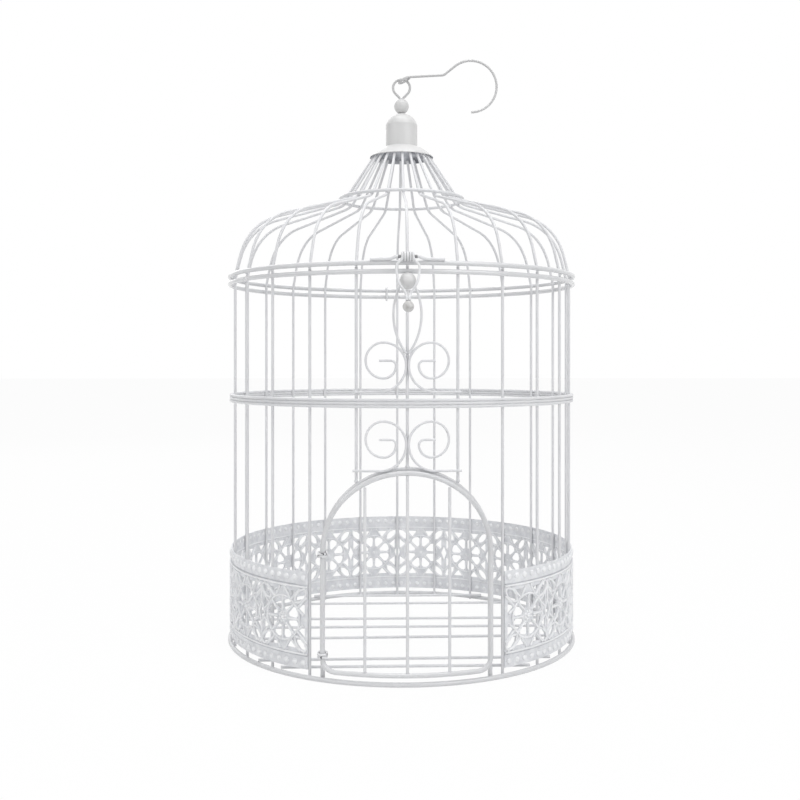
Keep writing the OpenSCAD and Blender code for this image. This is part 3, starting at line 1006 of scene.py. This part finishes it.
    def fine(self, line: Line) -> Line:
        """Fills a line with evenly spaced points.

        Args:
            line: The corner points.

        Returns:
            Points about one step apart.
        """
        out = [line[0]]
        for (u0, v0), (u1, v1) in zip(line, line[1:]):
            count = max(1, round(math.hypot(u1 - u0, v1 - v0) / self.step))
            for k in range(1, count + 1):
                out.append((u0 + (u1 - u0) * k / count, v0 + (v1 - v0) * k / count))
        return out

    def twist(self, turns: float) -> float:
        """How thick a strand is after a number of its turns, as a share of its radius."""
        return 1.0 + self.twist_depth * math.cos(math.tau * turns)

    def lay(
        self, mesh: PieceMesh, angle_deg: float, lines: Iterable[Line], lift: float, radius: float
    ) -> None:
        """Lays twisted strands on the sheet.

        Args:
            mesh: The mesh they go into.
            angle_deg: The angle of the lines' own middle.
            lines: The lines, across and up.
            lift: How far the strands' middle stands out of the outer face.
            radius: The strands' radius.
        """
        for line in lines:
            points = self.fine(line)
            turns = (len(points) - 1) * self.step / self.twist_pitch
            path = [self.on_face(angle_deg, u, v, lift) for u, v in points]
            mesh.tube(path, lambda share: radius * self.twist(turns * share), self.strand_sides)

    def run_along(self, mesh: PieceMesh, out: float, lift: float, radius: float) -> None:
        """Runs a line along each border, from one end of the band to the other.

        Args:
            mesh: The mesh it goes into.
            out: Its distance beyond the rosettes' field.
            lift: How far its middle stands out of the face.
            radius: Its radius.
        """
        count = 2 * self.bead_count
        sweep = self.turn_deg * self.rosettes
        angles = [BACK_DEG + sweep * (k / count - 0.5) for k in range(count + 1)]
        for row in (Row.UPPER, Row.LOWER):
            v = row.value * (self.half[1] + out)
            mesh.tube([self.on_face(a, 0.0, v, lift) for a in angles], lambda share: radius)

    def stud(self, mesh: PieceMesh, radius: float, size: Sizes) -> None:
        """Sets a row of small balls along each border.

        Args:
            mesh: The mesh they go into.
            radius: Their distance from the cage's axis.
            size: Their half sizes.
        """
        for row in Row:
            height = self.row_z(row, self.bead_inset)
            for i in range(self.bead_count):
                angle = self.half_gap_deg + (i + 0.5) * self.bead_deg
                mesh.blob(around(angle, radius, height), metres(size), angle)

    def strands(self) -> bpy.types.Object:
        """Raises the strands and the hub flower of every rosette, and the border cords.

        Returns:
            The strands as one piece.
        """
        mesh = PieceMesh()
        rosette, join = self.rosette(), self.join()
        petal_deg = FULL_TURN_DEG / self.spokes
        for i in range(self.rosettes):
            angle = self.rosette_deg(i + 0.5)
            self.lay(mesh, angle, rosette, self.strand_lift, self.strand_r)
            if i:
                self.lay(mesh, self.rosette_deg(i), join, self.strand_lift, self.strand_r)
            for k in range(self.spokes):
                u, v = self.polar(self.petal_r, petal_deg * (k + 0.5))
                mesh.blob(self.on_face(angle, u, v), metres(self.petal), angle)
            mesh.blob(self.on_face(angle, 0.0, 0.0), metres(self.hub), angle)
        self.run_along(mesh, *self.cord)
        # The strands and cords take the lighter relief paint as painted highlight
        return mesh.piece("filigree_strands", RELIEF_HIGHLIGHT_PAINT, "cage", "painted_sheet")

    def beads(self) -> bpy.types.Object:
        """Sets the two rows of beads along the band's borders.

        Returns:
            The beads as one piece.
        """
        mesh = PieceMesh()
        self.stud(mesh, self.face_r, self.bead)
        # The beads take the lighter relief paint as painted highlight
        return mesh.piece("filigree_beads", RELIEF_HIGHLIGHT_PAINT, "cage", "painted_sheet")

    def grooves(self) -> bpy.types.Object:
        """Paints shade as a dark line in the groove beside each border's ridge.

        Returns:
            The grooves as one piece.
        """
        mesh = PieceMesh()
        self.run_along(mesh, *self.groove)
        return mesh.piece("filigree_groove_shade", GROOVE_SHADE_PAINT, "cage", "painted_sheet")

    def inside(self) -> bpy.types.Object:
        """Shows the stamping from inside: low lines, dimple rims and a crease along each border.

        Returns:
            The inner relief as one piece.
        """
        mesh = PieceMesh()
        rosette = self.rosette()
        depth = self.sheet_t + self.inner_sink
        for i in range(self.rosettes):
            self.lay(mesh, self.rosette_deg(i + 0.5), rosette, -depth, self.inner_r)
        inner = self.face_r - self.sheet_t
        self.stud(mesh, inner, self.dimple)
        angles = [self.half_gap_deg + k * self.bead_deg for k in range(self.bead_count + 1)]
        for row in Row:
            height = self.row_z(row, self.border - self.crease_in)
            path = [around(angle, inner + self.crease_sink, height) for angle in angles]
            mesh.tube(path, lambda share: self.crease_r, self.strand_sides)
        # The inner lines take the lighter relief paint as painted highlight
        return mesh.piece("filigree_inside", RELIEF_HIGHLIGHT_PAINT, "cage", "painted_sheet")


# ------------------------------------------------------------------------------- paintwork


# Which nodes have another finish than plain wire paint
OTHER_PAINTS: dict[WhitePaint, tuple[str, ...]] = {
    THICK_WIRE_PAINT: ("base_ring", "wall_ring", "lid_ring", "door_frame", "door_arch"),
    BALL_PAINT: ("latch_keeper", "finial_bulb", "finial_ball", "finial_cap"),
    CHIPPED_PAINT: (
        "door_hinge_loop_upper", "door_hinge_loop_lower",
        "lid_hinge_loop_left", "lid_hinge_loop_right",
    ),
    HOOK_SHADE_PAINT: ("hanging_hook", "finial_eye"),
    SHEET_PAINT: ("filigree_band",),
    PULL_PAINT: ("latch_pull_ball",),
}


@dataclass
class Paintwork:
    """Gives each node of the frame its coat of paint."""

    coil_half: float = 5.6 * MM
    underside: float = -0.2
    inner_flank: float = 0.3

    @staticmethod
    def paint_for(name: str) -> WhitePaint:
        """The finish of one node.

        Args:
            name: The node's name.

        Returns:
            Its paint.
        """
        for paint, names in OTHER_PAINTS.items():
            if name in names:
                return paint
        return WIRE_PAINT

    def coat(self, nodes: dict[str, bpy.types.Object]) -> None:
        """Paints every node, gives the cap's inside a dark painted shade, and paints the bail
        under the coil as bare iron darkened as painted shade.

        Args:
            nodes: The frame's nodes by name.
        """
        for name, node in nodes.items():
            node.data.materials.clear()
            node.data.materials.append(self.paint_for(name).material())
        # Painted shade: the cap's downward and inward faces get a dark finish
        self.give_second_finish(nodes["finial_cap"], CAP_SHADE_PAINT, self.in_cap)
        # The bail by the coil gets bare iron darkened as painted shade
        self.give_second_finish(nodes["latch_bail"], BARE_IRON_AND_SHADE, self.under_coil)

    def in_cap(self, middle: Vector, normal: Vector) -> bool:
        """Tells whether a face of the cap looks down or towards the axis, where it gets painted
        shade.
        """
        towards_axis = normal.x * middle.x + normal.y * middle.y < 0.0
        return normal.z < self.underside or (normal.z < self.inner_flank and towards_axis)

    def under_coil(self, middle: Vector, normal: Vector) -> bool:
        """Tells whether a face of the bail lies where the coil rubs it, shown as bare iron
        darkened as painted shade.
        """
        return abs(middle.x) < self.coil_half

    @staticmethod
    def give_second_finish(
        node: bpy.types.Object, paint: WhitePaint, chosen: Callable[[Vector, Vector], bool]
    ) -> None:
        """Gives some faces of a node a second finish.

        Args:
            node: The node.
            paint: The finish of the chosen faces.
            chosen: Tells from a face's middle and normal whether it gets that finish.
        """
        node.data.materials.append(paint.material())
        for face in node.data.polygons:
            face.material_index = int(chosen(face.center, face.normal))


def main() -> None:
    """Builds the studio and dresses the cage in order."""
    logging.basicConfig(level=logging.INFO, format="%(message)s")
    Viewpoint().place()
    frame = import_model()
    Studio().build()
    paintwork = Paintwork()
    paintwork.coat(frame["nodes"])
    for name in frame["nodes"]:
        log.info("painted %s with %s", name, paintwork.paint_for(name).name)
    for piece in [*Welds(Wires()).build(), *LatchCoil().build(), *FiligreeRelief().build()]:
        log.info("made %s with %d faces", piece.name, len(piece.data.polygons))
    bpy.context.scene.view_settings.view_transform = "Standard"


if __name__ == "__main__":
    main()
